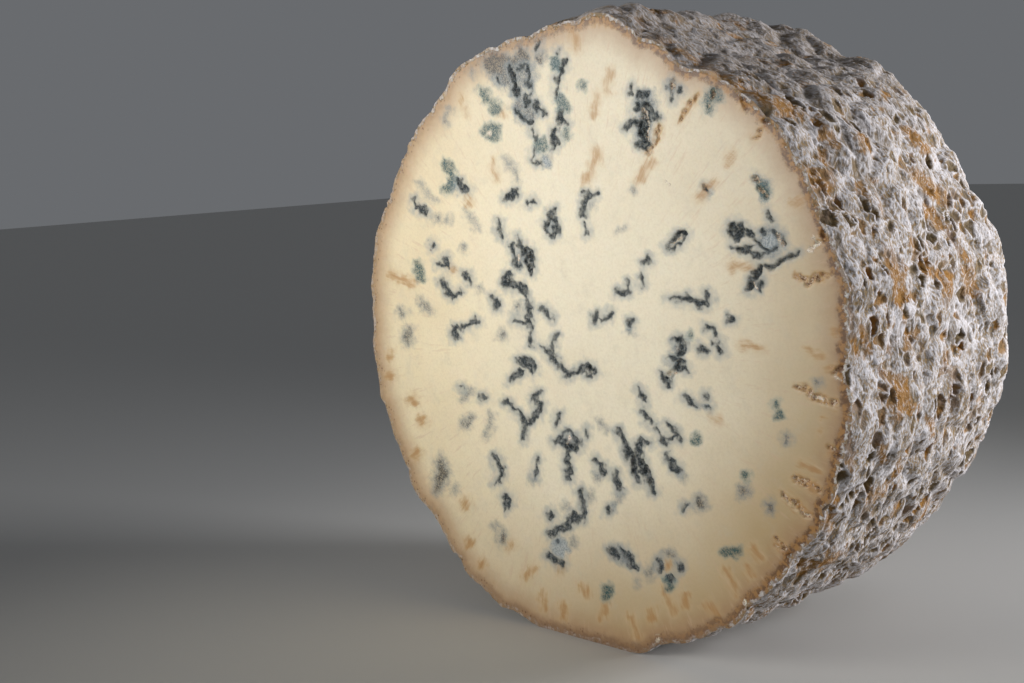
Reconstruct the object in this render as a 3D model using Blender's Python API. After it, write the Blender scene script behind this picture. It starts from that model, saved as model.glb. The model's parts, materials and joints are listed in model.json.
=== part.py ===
"""Half a stilton: a drum of blue cheese cut straight across, lying on its rind with the cut face in front.

Metres, +Z up. The drum's axis lies along Y and the cut faces -Y. The origin is on the surface that the
cheese lies on, under the middle of its bounding box."""

import math

import bmesh
import bpy
from mathutils import Vector, noise

# The drum, from which every other size follows
DRUM_RADIUS = 0.100
PIECE_DEPTH = 0.107
EDGE_ROUND = 0.022
BARREL = 0.0015
SETTLED = 0.0016
FOOT_HALF_WIDTH = 0.014
FOOT_FADE = 0.014
AXIS_HEIGHT = DRUM_RADIUS - SETTLED

# Cells of the surface: along each quarter of the rim, and from the cut round to the flat of the far end
QUARTER_CELLS = 32
WALL_CELLS = 26
SAME_PLACE = 1e-6

# Relief of the rubbed rind: (size of one rise, height of it, place in the noise)
SWELLS = (0.038, 0.0022, 3.0)
LUMPS = (0.016, 0.0016, 11.0)
CURD_SIZE = 0.0135
CURD_HEIGHT = 0.0026
CURD_SEAM = 0.42
CURD_SUNK = 0.75

# Where the drum isn't round: (clock angle from +X in degrees, height, spread in degrees)
CORNERS_AND_FLATS = (
    (2, -0.0018, 8),
    (44, 0.0026, 9),
    (65, -0.0042, 9),
    (81, 0.0026, 6),
    (100, -0.0026, 8),
    (118, 0.0012, 10),
    (152, -0.0014, 8),
    (211, -0.0016, 6),
    (241, 0.0012, 7),
    (283, -0.0012, 8),
    (350, 0.0014, 6),
)
CORNER_FADE = 3

# Single swellings and hollows of the rind: (clock angle, distance behind the cut, height, spread)
SINGLE_SWELLINGS = (
    (86, 0.014, 0.0016, 0.015),
    (80, 0.050, -0.0014, 0.016),
    (72, 0.094, 0.0030, 0.011),
    (52, 0.095, -0.0020, 0.013),
    (16, 0.096, 0.0020, 0.017),
    (205, 0.060, 0.0020, 0.018),
    (150, 0.085, -0.0018, 0.015),
)

# Crevices that open in the cut: (right of the axis, above it, length, width, depth, lean in degrees)
CREVICES = (
    (0.0400, 0.0330, 0.0100, 0.0040, 0.0032, 38),
    (0.0630, 0.0370, 0.0085, 0.0070, 0.0026, 0),
    (0.0735, 0.0310, 0.0170, 0.0070, 0.0030, -22),
    (0.0690, 0.0220, 0.0080, 0.0045, 0.0028, 70),
    (0.0295, 0.0710, 0.0190, 0.0100, 0.0026, 84),
    (0.0850, -0.0315, 0.0100, 0.0060, 0.0022, -40),
    (0.0870, 0.0250, 0.0110, 0.0042, 0.0020, -6),
    (-0.0100, -0.0660, 0.0170, 0.0110, 0.0024, 78),
    (0.0240, -0.0350, 0.0180, 0.0045, 0.0026, -62),
    (-0.0230, 0.0270, 0.0140, 0.0070, 0.0024, -66),
    (0.0390, -0.0030, 0.0090, 0.0060, 0.0024, 60),
    (-0.0210, 0.0780, 0.0150, 0.0100, 0.0024, -60),
)
CREVICE_SIDES = 12
CREVICE_RINGS = 7

PASTE_COLOUR = (0.86, 0.72, 0.47, 1.0)
PASTE_ROUGHNESS = 0.45
RIND_COLOUR = (0.47, 0.41, 0.34, 1.0)
RIND_ROUGHNESS = 0.9


def clear_scene():
    for old in list(bpy.data.objects):
        bpy.data.objects.remove(old, do_unlink=True)


def collection(name):
    made = bpy.data.collections.new(name)
    bpy.context.scene.collection.children.link(made)
    return made


def finish(name, colour, roughness):
    material = bpy.data.materials.new(name)
    material.use_nodes = True
    shader = material.node_tree.nodes["Principled BSDF"]
    shader.inputs["Base Color"].default_value = colour
    shader.inputs["Roughness"].default_value = roughness
    shader.inputs["Metallic"].default_value = 0.0
    return material


# The smooth drum


def disc_point(u, v):
    """The place on a round disc for a place on a square, both from -1 to 1, with cells of like area."""
    if u == 0 and v == 0:
        return 0.0, 0.0
    if abs(u) >= abs(v):
        reach, turn = u, math.pi / 4 * v / u
    else:
        reach, turn = v, math.pi / 2 - math.pi / 4 * u / v
    return reach * math.cos(turn), reach * math.sin(turn)


def drum_point(cube_point):
    """Where a point of the cube lies on the smooth drum, and which way the rind faces there."""
    across, up = disc_point(cube_point.x, cube_point.y)
    share = math.hypot(across, up)
    outward = Vector((across, 0, up)).normalized()
    wall = PIECE_DEPTH - EDGE_ROUND
    if share < 1 - SAME_PLACE:
        if cube_point.z < 0:
            return outward * share * DRUM_RADIUS, Vector((0, -1, 0))
        flat = outward * share * (DRUM_RADIUS - EDGE_ROUND)
        return flat + Vector((0, PIECE_DEPTH, 0)), Vector((0, 1, 0))
    along = (cube_point.z + 1) / 2 * (wall + EDGE_ROUND * math.pi / 2)
    if along <= wall:
        bulge = BARREL * math.sin(math.pi * along / wall)
        return outward * (DRUM_RADIUS + bulge) + Vector((0, along, 0)), outward
    turn = (along - wall) / EDGE_ROUND
    facing = outward * math.cos(turn) + Vector((0, math.sin(turn), 0))
    middle = outward * (DRUM_RADIUS - EDGE_ROUND) + Vector((0, wall, 0))
    return middle + facing * EDGE_ROUND, facing


# The relief of the rind


def turn_between(a, b):
    """How far apart two clock angles are, in degrees."""
    return abs((a - b + 180) % 360 - 180)


def rise(place, size, height, offset):
    return height * noise.noise(place / size + Vector((offset, offset, offset)))


def curds(place):
    """Knobs of curd with seams between them, high in the middle of each and low where two meet."""
    near, next_near = noise.voronoi(place / CURD_SIZE)[0][:2]
    return CURD_HEIGHT * (min(1.0, (next_near - near) / CURD_SEAM) - CURD_SUNK)


def relief(place):
    """How far the rind stands out at a place of the smooth drum."""
    height = rise(place, *SWELLS) + rise(place, *LUMPS) + curds(place)
    clock = math.degrees(math.atan2(place.z, place.x))
    flat_radius = DRUM_RADIUS - EDGE_ROUND
    fade = min(1.0, math.hypot(place.x, place.z) / flat_radius) ** CORNER_FADE
    for angle, step, spread in CORNERS_AND_FLATS:
        height += fade * step * math.exp(-((turn_between(clock, angle) / spread) ** 2))
    for angle, behind, step, spread in SINGLE_SWELLINGS:
        way = Vector((math.cos(math.radians(angle)), 0, math.sin(math.radians(angle))))
        away = (place - way * DRUM_RADIUS - Vector((0, behind, 0))).length
        height += step * math.exp(-((away / spread) ** 2))
    return height


def foot_share(place):
    """1 under the cheese, where its weight has flattened the rind, and 0 away from there."""
    if place.z > 0:
        return 0.0
    return max(0.0, min(1.0, 1.0 - (abs(place.x) - FOOT_HALF_WIDTH) / FOOT_FADE))


def rind_point(place, facing):
    """The place on the finished rind. The foot is pressed flat, and nothing reaches below it."""
    height = relief(place)
    share = foot_share(place)
    moved = place + facing * height * (1 - share) + facing * SETTLED / 2 * share * abs(facing.z)
    moved.z = max(moved.z, -AXIS_HEIGHT)
    return moved


def cut_point(place):
    """The place on the cut, whose rim follows the rind's, so that the cells inside keep their order."""
    share = place.length / DRUM_RADIUS
    if share == 0:
        return place
    outward = place.normalized()
    return rind_point(outward * DRUM_RADIUS, outward) * share


# Making the piece


def split_edges(mesh, axis, cells):
    """Cuts every edge that runs along one axis of the cube into equal lengths."""
    along = []
    for edge in mesh.edges:
        start, end = edge.verts
        if abs(end.co[axis] - start.co[axis]) > SAME_PLACE:
            along.append(edge)
    bmesh.ops.subdivide_edges(mesh, edges=along, cuts=cells - 1, use_grid_fill=True)


def is_cut(corners):
    """Whether a face with these corners lies in the plane of the cut."""
    return all(abs(corner.y) < SAME_PLACE for corner in corners)


def drum_half():
    """The cheese without its crevices: a cube of small cells moved onto the drum and given the relief."""
    mesh = bmesh.new()
    bmesh.ops.create_cube(mesh, size=2)
    for axis, cells in enumerate((QUARTER_CELLS, QUARTER_CELLS, WALL_CELLS)):
        split_edges(mesh, axis, cells)
    for vertex in mesh.verts:
        place, facing = drum_point(vertex.co)
        on_the_cut = facing.y < 0
        vertex.co = cut_point(place) if on_the_cut else rind_point(place, facing)
    bmesh.ops.recalc_face_normals(mesh, faces=mesh.faces)
    cut = [face for face in mesh.faces if is_cut([vertex.co for vertex in face.verts])]
    bmesh.ops.dissolve_faces(mesh, faces=cut, use_verts=True)
    data = bpy.data.meshes.new("stilton")
    mesh.to_mesh(data)
    mesh.free()
    return data


def crevice_cutter(number, right, up, length, width, depth, lean):
    """An egg-shaped hollow half sunk in the cut, long way along its lean."""
    bpy.ops.mesh.primitive_uv_sphere_add(
        segments=CREVICE_SIDES, ring_count=CREVICE_RINGS, radius=0.5, location=(right, 0, up)
    )
    cutter = bpy.context.active_object
    cutter.name = f"crevice_cutter_{number:02d}"
    cutter.scale = (length, 2 * depth, width)
    cutter.rotation_euler = (0, -math.radians(lean), 0)
    cutter.display_type = "WIRE"
    cutter.hide_render = True
    return cutter


def split_into_triangles(cheese):
    """Each cell of the rind is split along its shorter way across, which follows the lumps best."""
    facets = cheese.modifiers.new("facets", "TRIANGULATE")
    facets.quad_method = "SHORTEST_DIAGONAL"


def cut_crevices(cheese, cutters):
    for number, crevice in enumerate(CREVICES):
        cutter = crevice_cutter(number, *crevice)
        for home in list(cutter.users_collection):
            home.objects.unlink(cutter)
        cutters.objects.link(cutter)
    opening = cheese.modifiers.new("crevices", "BOOLEAN")
    opening.operation = "DIFFERENCE"
    opening.operand_type = "COLLECTION"
    opening.collection = cutters
    opening.solver = "EXACT"


def shift_to_origin(cheese):
    """The move that puts the origin under the middle of the cheese's box, where it lies on the surface."""
    corners = [vertex.co for vertex in cheese.data.vertices]
    low = Vector([min(corner[axis] for corner in corners) for axis in range(3)])
    high = Vector([max(corner[axis] for corner in corners) for axis in range(3)])
    return Vector((-(low.x + high.x) / 2, -(low.y + high.y) / 2, -low.z))


def paint(cheese):
    """The paste shows on the cut, and the rind everywhere else."""
    cheese.data.materials.append(finish("rind", RIND_COLOUR, RIND_ROUGHNESS))
    cheese.data.materials.append(finish("paste", PASTE_COLOUR, PASTE_ROUGHNESS))
    places = [vertex.co for vertex in cheese.data.vertices]
    for face in cheese.data.polygons:
        face.material_index = 1 if is_cut([places[corner] for corner in face.vertices]) else 0


def build():
    clear_scene()
    parts = collection("stilton")
    cutters = collection("cutters")
    cheese = bpy.data.objects.new("stilton", drum_half())
    parts.objects.link(cheese)
    paint(cheese)
    split_into_triangles(cheese)
    cut_crevices(cheese, cutters)
    shift = shift_to_origin(cheese)
    cheese.location = shift
    for cutter in cutters.objects:
        cutter.location += shift


build()
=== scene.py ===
import json
import math

import bpy
import numpy as np
from mathutils import Matrix, Vector, noise

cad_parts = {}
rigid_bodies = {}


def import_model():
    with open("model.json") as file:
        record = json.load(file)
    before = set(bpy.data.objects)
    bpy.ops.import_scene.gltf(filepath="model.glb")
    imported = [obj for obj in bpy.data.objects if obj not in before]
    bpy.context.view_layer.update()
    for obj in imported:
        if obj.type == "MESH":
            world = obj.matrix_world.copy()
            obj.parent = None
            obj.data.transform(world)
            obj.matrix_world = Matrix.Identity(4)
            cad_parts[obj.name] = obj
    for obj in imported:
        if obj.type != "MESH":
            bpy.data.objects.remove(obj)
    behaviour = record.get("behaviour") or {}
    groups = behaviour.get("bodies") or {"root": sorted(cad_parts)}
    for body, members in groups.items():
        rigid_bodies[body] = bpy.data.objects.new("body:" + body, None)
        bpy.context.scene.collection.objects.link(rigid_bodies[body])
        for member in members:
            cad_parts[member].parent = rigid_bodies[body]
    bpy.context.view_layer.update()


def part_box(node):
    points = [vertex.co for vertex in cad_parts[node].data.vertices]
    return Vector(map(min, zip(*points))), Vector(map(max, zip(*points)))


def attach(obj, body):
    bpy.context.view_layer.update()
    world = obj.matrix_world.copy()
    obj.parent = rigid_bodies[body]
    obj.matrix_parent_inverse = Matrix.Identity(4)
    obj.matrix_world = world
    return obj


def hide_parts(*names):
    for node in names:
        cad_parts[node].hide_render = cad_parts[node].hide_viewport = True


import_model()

# Half a stilton lying on its rind, in metres with +Z up. The drum's axis lies along Y and the cut faces -Y.

# The camera
# A 50 mm lens looks at the cut from its right, a little above it, so that the wall of the drum shows too.
# Pixels below are those of the photograph, 1024 wide and 683 high.

PHOTO_WIDTH = 1024
PHOTO_HEIGHT = 683
SENSOR_WIDTH = 36.0
LENS = 50.17
AZIMUTH = math.radians(44.32)
ELEVATION = math.radians(8.09)
ROLL = math.radians(-2.53)
DISTANCE = 0.4546
CUT_CENTRE_PIXEL = (575.6, 343.6)
AXIS_HEIGHT = 0.0984
LENS_PIXELS = LENS / SENSOR_WIDTH * PHOTO_WIDTH

cut_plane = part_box("stilton")[0].y
cut_centre = Vector((0, cut_plane, AXIS_HEIGHT))
level_right = Vector((math.cos(AZIMUTH), math.sin(AZIMUTH), 0))
back = Vector(
    (
        math.sin(AZIMUTH) * math.cos(ELEVATION),
        -math.cos(AZIMUTH) * math.cos(ELEVATION),
        math.sin(ELEVATION),
    )
)
level_up = back.cross(level_right)
right = level_right * math.cos(ROLL) + level_up * math.sin(ROLL)
up = level_up * math.cos(ROLL) - level_right * math.sin(ROLL)
off_right = (CUT_CENTRE_PIXEL[0] - PHOTO_WIDTH / 2) / LENS_PIXELS * DISTANCE
off_down = (CUT_CENTRE_PIXEL[1] - PHOTO_HEIGHT / 2) / LENS_PIXELS * DISTANCE
eye = cut_centre + back * DISTANCE - right * off_right + up * off_down

bpy.ops.object.camera_add(location=eye)
camera = bpy.context.active_object
camera.name = "camera"
camera.data.lens = LENS
camera.data.sensor_width = SENSOR_WIDTH
camera.data.dof.use_dof = False
camera.matrix_world = Matrix.Translation(eye) @ Matrix((right, up, back)).transposed().to_4x4()
bpy.context.scene.camera = camera


def pixels_of(places):
    """Where places of the part show in the photograph, one row for each."""
    seen = places - np.array(eye)
    depth = -seen @ np.array(back)
    across = PHOTO_WIDTH / 2 + LENS_PIXELS * (seen @ np.array(right)) / depth
    down = PHOTO_HEIGHT / 2 - LENS_PIXELS * (seen @ np.array(up)) / depth
    return np.stack([across, down], axis=1)


# The whole cheese
# A drum of curd with a rubbed coat, cut straight across and lying on its rind. It is one skin of small cells,
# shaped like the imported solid, with the finer hollows and ridges of the coat raised on it. Further down it is
# cut into closed slices, so that each stays small enough.

DRUM_RADIUS = 0.100
PIECE_DEPTH = 0.107
EDGE_ROUND = 0.022
BARREL = 0.0015
SETTLED = 0.0016
FOOT_HALF_WIDTH = 0.014
FOOT_FADE = 0.014
WALL = PIECE_DEPTH - EDGE_ROUND
WAY_ALONG = WALL + EDGE_ROUND * math.pi / 2
SAME_PLACE = 1e-5

# Relief of the solid, whose curds are lower here: (size of one rise, height of it, place in the noise)
SWELLS = (0.038, 0.0022, 3.0)
LUMPS = (0.016, 0.0016, 11.0)
CURD_SIZE = 0.0135
CURD_HEIGHT = 0.0015
CURD_SEAM = 0.42
CURD_SUNK = 0.75

# Where the drum isn't round: (clock angle in degrees, height, spread in degrees)
CORNERS_AND_FLATS = (
    (2, -0.0018, 8),
    (44, 0.0026, 9),
    (65, -0.0042, 9),
    (81, 0.0026, 6),
    (100, -0.0026, 8),
    (118, 0.0012, 10),
    (152, -0.0014, 8),
    (211, -0.0016, 6),
    (241, 0.0012, 7),
    (283, -0.0012, 8),
    (350, 0.0014, 6),
)
CORNER_FADE = 3

# Single swellings and hollows: (clock angle, distance behind the cut, height, spread)
SINGLE_SWELLINGS = (
    (86, 0.014, 0.0016, 0.015),
    (80, 0.050, -0.0014, 0.016),
    (72, 0.094, 0.0030, 0.011),
    (52, 0.095, -0.0020, 0.013),
    (16, 0.096, 0.0020, 0.017),
    (205, 0.060, 0.0020, 0.018),
    (150, 0.085, -0.0018, 0.015),
    (60, 0.088, 0.0036, 0.019),
    (42, 0.094, -0.0032, 0.014),
    (0, 0.093, 0.0034, 0.020),
    (334, 0.092, 0.0022, 0.020),
)

bpy.ops.object.select_all(action="DESELECT")
bpy.ops.mesh.primitive_cube_add(size=2)
cheese = bpy.context.active_object
cheese.name = "cheese"
bpy.ops.object.mode_set(mode="EDIT")
bpy.ops.mesh.subdivide(number_cuts=11)
bpy.ops.mesh.subdivide(number_cuts=19)
bpy.ops.object.mode_set(mode="OBJECT")


def read(things, name, width):
    """One field of all the vertices, faces or values of an attribute, one row for each."""
    values = np.empty(len(things) * width)
    things.foreach_get(name, values)
    return values.reshape(-1, width) if width > 1 else values


def store(mesh, name, values):
    """Keeps one number or vector for each vertex of a mesh under a name."""
    kind, field = ("FLOAT", "value") if values.ndim == 1 else ("FLOAT_VECTOR", "vector")
    made = mesh.attributes.new(name, kind, "POINT")
    made.data.foreach_set(field, values.astype(np.float32).ravel())


def rows_of(mesh, cube):
    """The slice that each face of the cube goes to: 0 the cut, then three from the cut to the far end."""
    corners = read(mesh.loops, "vertex_index", 1).astype(int)
    height = cube[corners.reshape(-1, 4), 2].mean(axis=1)
    along = (height + 1) / 2
    return np.where(height < -1 + SAME_PLACE, 0, 1 + np.minimum(along * 12 // 5, 2)).astype(int)


cube = read(cheese.data.vertices, "co", 3)
slice_of_face = cheese.data.attributes.new("slice", "INT", "FACE")
slice_of_face.data.foreach_set("value", rows_of(cheese.data, cube))

# From the cube to the smooth drum. A square goes onto a disc with cells of like area.
wide = np.abs(cube[:, 0]) >= np.abs(cube[:, 1])
reach = np.where(wide, cube[:, 0], cube[:, 1])
other = np.where(wide, cube[:, 1], cube[:, 0])
slant = math.pi / 4 * other / np.where(reach == 0, 1, reach)
clock = np.where(wide, slant, math.pi / 2 - slant) + np.where(reach < 0, math.pi, 0)
share = np.abs(reach)
outward = np.stack([np.cos(clock), np.zeros(len(clock)), np.sin(clock)], axis=1)
on_wall = share > 1 - SAME_PLACE
on_cut = ~on_wall & (cube[:, 2] < 0)
along = (cube[:, 2] + 1) / 2 * WAY_ALONG
turn = np.clip((along - WALL) / EDGE_ROUND, 0, math.pi / 2)
bulge = BARREL * np.sin(math.pi * np.clip(along / WALL, 0, 1))
facing = outward * np.cos(turn)[:, None]
facing[:, 1] = np.sin(turn)
flat_radius = DRUM_RADIUS - EDGE_ROUND
rest = outward * np.where(on_wall | on_cut, flat_radius, flat_radius * share)[:, None]
rest += facing * np.where(on_wall | on_cut, EDGE_ROUND, 0)[:, None]
rest += outward * bulge[:, None]
rest[:, 1] += np.where(on_wall, np.minimum(along, WALL), np.where(on_cut, 0, PIECE_DEPTH))


def coarse_relief(place):
    """How far the solid's rind stands out at a place of the smooth drum, without corners and swellings."""
    spot = Vector(place)
    height = 0
    for size, step, offset in (SWELLS, LUMPS):
        height += step * noise.noise(spot / size + Vector((offset, offset, offset)))
    near, next_near = noise.voronoi(spot / CURD_SIZE)[0][:2]
    return height + CURD_HEIGHT * (min(1.0, (next_near - near) / CURD_SEAM) - CURD_SUNK)


height = np.array([coarse_relief(place) for place in rest])
fade = np.minimum(1, np.hypot(rest[:, 0], rest[:, 2]) / flat_radius) ** CORNER_FADE
for angle, step, spread in CORNERS_AND_FLATS:
    between = np.abs((np.degrees(clock) - angle + 180) % 360 - 180)
    height += fade * step * np.exp(-((between / spread) ** 2))
for angle, behind, step, spread in SINGLE_SWELLINGS:
    turned = math.radians(angle)
    middle = np.array([math.cos(turned) * DRUM_RADIUS, behind, math.sin(turned) * DRUM_RADIUS])
    away = np.linalg.norm(rest - middle, axis=1)
    height += step * np.exp(-((away / spread) ** 2))
pressed = np.where(
    rest[:, 2] > 0, 0, np.clip(1 - (np.abs(rest[:, 0]) - FOOT_HALF_WIDTH) / FOOT_FADE, 0, 1)
)
moved = rest + facing * (height * (1 - pressed) + SETTLED / 2 * pressed * np.abs(facing[:, 2]))[:, None]
moved[:, 2] = np.maximum(moved[:, 2], -AXIS_HEIGHT)
moved *= np.where(on_cut, share, 1)[:, None]

# The same shift as the solid's, which puts the origin under the middle of its box
middle_x = (moved[:, 0].min() + moved[:, 0].max()) / 2
moved += np.array([-middle_x, cut_plane, AXIS_HEIGHT])
cheese.data.vertices.foreach_set("co", moved.ravel())

# Patches of bare rind, traced from the photograph as chains of (pixel across, pixel down, half width)
BARE_PATCHES = (
    ((660, 40, 3), (700, 62, 4), (745, 90, 4), (783, 108, 4), (802, 116, 4)),
    ((815, 122, 5), (836, 146, 5)), ((858, 136, 4), (868, 150, 4)), ((905, 128, 5), (926, 150, 5)),
    ((916, 174, 6), (935, 196, 7)), ((925, 208, 6), (940, 226, 6)), ((860, 184, 4), (870, 202, 4)),
    ((884, 248, 5), (898, 268, 8), (902, 298, 8)), ((928, 272, 6), (948, 278, 8), (944, 302, 5)),
    ((962, 268, 4), (970, 280, 4)), ((945, 228, 3), (968, 262, 3)),
    ((846, 300, 4), (853, 330, 4), (856, 356, 4)), ((858, 322, 4), (870, 350, 5)),
    ((904, 308, 3), (908, 346, 3)), ((882, 372, 6), (900, 384, 9), (908, 408, 7)),
    ((950, 370, 3), (955, 394, 3)), ((846, 420, 4), (852, 470, 4)), ((880, 440, 4), (884, 462, 4)),
    ((930, 420, 3), (934, 440, 3)), ((835, 500, 4), (826, 530, 4)), ((870, 490, 3), (862, 515, 3)),
)
PIXELS_PER_MM = 3.1
MARK_REACH = 14.0


def away_from(strokes, seen):
    """How far each pixel is outside the nearest stroke, in millimetres of the cut; less than 0 inside one."""
    nearest = np.full(len(seen), MARK_REACH * PIXELS_PER_MM)
    for stroke in strokes:
        for (x0, y0, half0), (x1, y1, half1) in zip(stroke, stroke[1:]):
            start, run = np.array([x0, y0]), np.array([x1 - x0, y1 - y0])
            part = np.clip((seen - start) @ run / (run @ run), 0, 1)
            gap = np.linalg.norm(seen - start - part[:, None] * run, axis=1)
            nearest = np.minimum(nearest, gap - half0 - part * (half1 - half0))
    return nearest / PIXELS_PER_MM


faces_camera = ((np.array(eye) - moved) * facing).sum(axis=1) > 0
bare_patch = np.where(faces_camera & ~on_cut, away_from(BARE_PATCHES, pixels_of(moved)), MARK_REACH)
store(cheese.data, "patch", bare_patch)

# The fine relief gives way on the pressed foot, is less at the rim of the cut, and fades out inwards from it.
RIM_GIVE = 0.004
RIM_SHARE = 0.7
inwards = np.where(on_cut, (1 - share) * DRUM_RADIUS, 0)
store(cheese.data, "rest", rest)
store(cheese.data, "facing", facing)
behind = np.clip(rest[:, 1] / RIM_GIVE, 0, 1)
give = (1 - pressed) * np.clip(1 - inwards / RIM_GIVE, 0, 1) ** 2 * (RIM_SHARE + (1 - RIM_SHARE) * behind)
store(cheese.data, "give", give)
store(cheese.data, "inwards", inwards * 1000)
store(cheese.data, "along", np.where(on_wall, along, WAY_ALONG + flat_radius * (1 - share)))
store(cheese.data, "on_rim", (on_wall & (cube[:, 2] < -1 + SAME_PLACE)).astype(float))
bpy.ops.object.mode_set(mode="EDIT")
bpy.ops.mesh.select_all(action="SELECT")
bpy.ops.mesh.normals_make_consistent(inside=False)
bpy.ops.object.mode_set(mode="OBJECT")


def put(tree, socket, value):
    """Sets a socket, or joins it to another node's output."""
    if isinstance(value, bpy.types.NodeSocket):
        tree.links.new(value, socket)
    else:
        socket.default_value = value


def add(tree, kind, inputs=None, **settings):
    """A new node with its settings and its inputs by name."""
    made = tree.nodes.new(kind)
    for name, value in settings.items():
        setattr(made, name, value)
    for name, value in (inputs or {}).items():
        put(tree, made.inputs[name], value)
    return made


def calc(tree, operation, *values):
    """One sum on numbers."""
    made = add(tree, "ShaderNodeMath", operation=operation)
    for socket, value in zip(made.inputs, values):
        put(tree, socket, value)
    return made.outputs[0]


def times(tree, first, second):
    return calc(tree, "MULTIPLY", first, second)


def add_part(tree, part, weight, whole):
    """A part times its weight, added to the whole."""
    return calc(tree, "MULTIPLY_ADD", part, weight, whole)


def vector(tree, operation, *values):
    """One sum on vectors."""
    made = add(tree, "ShaderNodeVectorMath", operation=operation)
    for socket, value in zip(made.inputs, values):
        put(tree, socket, value)
    return made.outputs[0]


def ramp(tree, value, start, end, low=0.0, high=1.0):
    """Goes softly from low at start to high at end, and stays there beyond."""
    made = add(tree, "ShaderNodeMapRange", interpolation_type="SMOOTHSTEP")
    for socket, given in zip(made.inputs, (value, start, end, low, high)):
        put(tree, socket, given)
    return made.outputs[0]


def grain(tree, place, size, detail=2.0, rough=0.5, output="Fac"):
    """Noise whose lumps have about that size, in the unit of place."""
    inputs = {"Vector": place, "Scale": 1 / size, "Detail": detail, "Roughness": rough}
    return add(tree, "ShaderNodeTexNoise", inputs, noise_type="FBM").outputs[output]


def centred(tree, value):
    """From -0.5 to 0.5 where the value goes from 0 to 1."""
    return calc(tree, "SUBTRACT", value, 0.5)


def cells(tree, place, size, feature="F1"):
    """Cells about that far apart, in the unit of place."""
    inputs = {"Vector": place, "Scale": 1 / size}
    return add(tree, "ShaderNodeTexVoronoi", inputs, feature=feature).outputs


def split(tree, place):
    """The three parts of a place or a colour."""
    return add(tree, "ShaderNodeSeparateXYZ", {"Vector": place}).outputs


def wander(tree, place, size, reach):
    """Places pushed about by noise."""
    drift = vector(tree, "SUBTRACT", grain(tree, place, size, output="Color"), (0.5, 0.5, 0.5))
    return vector(tree, "ADD", place, vector(tree, "MULTIPLY", drift, (reach, reach, reach)))


# Hollows, dents and swells of the coat, in millimetres
HOLLOW_SIZE = 4.8
HOLLOW_DEPTH = 1.1
HOLLOW_VARIES = 0.7
RIDGE_HEIGHT = 0.30
DENT_SIZE = 2.1
DENT_DEPTH = 0.35
SWELL_SIZE = 8.0
SWELL_HEIGHT = 0.9


def coat(tree, rest_place):
    """The rind's lumps, ridges and hollows, in millimetres; rest places come in metres."""
    spot = vector(tree, "MULTIPLY", rest_place, (1000, 1200, 1000))
    spot = wander(tree, spot, 6.0, 5.5)
    spot = wander(tree, spot, 1.6, 1.0)
    plain = grain(tree, rest_place, 0.014, 1.0)
    chance = split(tree, cells(tree, spot, HOLLOW_SIZE)["Color"])
    border = cells(tree, spot, HOLLOW_SIZE, "DISTANCE_TO_EDGE")["Distance"]
    odds = add_part(tree, centred(tree, plain), 1.6, chance[0])
    odds = calc(tree, "SUBTRACT", odds, ramp(tree, split(tree, rest_place)[2], 0.065, 0.090, 0.0, 0.30))
    deep = ramp(tree, odds, 0.50, 1.05)
    netted = calc(tree, "MAXIMUM", deep, ramp(tree, grain(tree, spot, 7.0, 1.0), 0.44, 0.58))
    bowl = ramp(tree, border, 0.02, 0.26)
    ridge = times(tree, ramp(tree, border, 0.16, 0.0), netted)
    little = cells(tree, spot, DENT_SIZE)
    some = ramp(tree, split(tree, little["Color"])[0], 0.35, 0.5)
    dent = times(tree, ramp(tree, little["Distance"], 0.55, 0.15), some)
    swell = grain(tree, spot, SWELL_SIZE, 1.0)
    varied = add_part(tree, chance[2], HOLLOW_VARIES, -HOLLOW_VARIES / 2)
    sunk = add_part(tree, deep, -HOLLOW_DEPTH, varied)
    height = times(tree, bowl, sunk)
    height = add_part(tree, ridge, RIDGE_HEIGHT, height)
    height = add_part(tree, dent, -DENT_DEPTH, height)
    height = add_part(tree, centred(tree, swell), SWELL_HEIGHT, height)
    return {"height": height, "border": border, "deep": deep, "netted": netted,
            "dent": dent, "chance": chance}


def named(tree, name, kind):
    """An attribute of the vertices, in Geometry Nodes."""
    return add(tree, "GeometryNodeInputNamedAttribute", {"Name": name}, data_type=kind).outputs[0]


def new_relief(name):
    """An empty Geometry Nodes tree with the mesh going in and out."""
    tree = bpy.data.node_groups.new(name, "GeometryNodeTree")
    tree.interface.new_socket("Geometry", in_out="INPUT", socket_type="NodeSocketGeometry")
    tree.interface.new_socket("Geometry", in_out="OUTPUT", socket_type="NodeSocketGeometry")
    return tree, tree.nodes.new("NodeGroupInput").outputs[0], tree.nodes.new("NodeGroupOutput").inputs[0]


def apply_relief(piece, tree):
    """Runs a Geometry Nodes tree on a piece for good."""
    bpy.context.view_layer.objects.active = piece
    piece.modifiers.new(tree.name, "NODES").node_group = tree
    bpy.ops.object.modifier_apply(modifier=tree.name)


relief, mesh_in, mesh_out = new_relief("rubbed coat")
raised = coat(relief, named(relief, "rest", "FLOAT_VECTOR"))["height"]
raised = times(relief, raised, times(relief, named(relief, "give", "FLOAT"), 0.001))
step = add(relief, "ShaderNodeVectorMath", operation="SCALE")
put(relief, step.inputs[0], named(relief, "facing", "FLOAT_VECTOR"))
put(relief, step.inputs["Scale"], raised)
here = relief.nodes.new("GeometryNodeInputPosition").outputs[0]
lifted = vector(relief, "MAXIMUM", vector(relief, "ADD", here, step.outputs[0]), (-1, -1, 0))
moving = add(relief, "GeometryNodeSetPosition", {"Geometry": mesh_in, "Position": lifted})
relief.links.new(moving.outputs[0], mesh_out)
apply_relief(cheese, relief)

# Into slices. The cut comes away as a plug, and the rind in three rings, all with shared loops between them.
slices = ["paste", "rind_front", "rind_back", "rind_end"]


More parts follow.
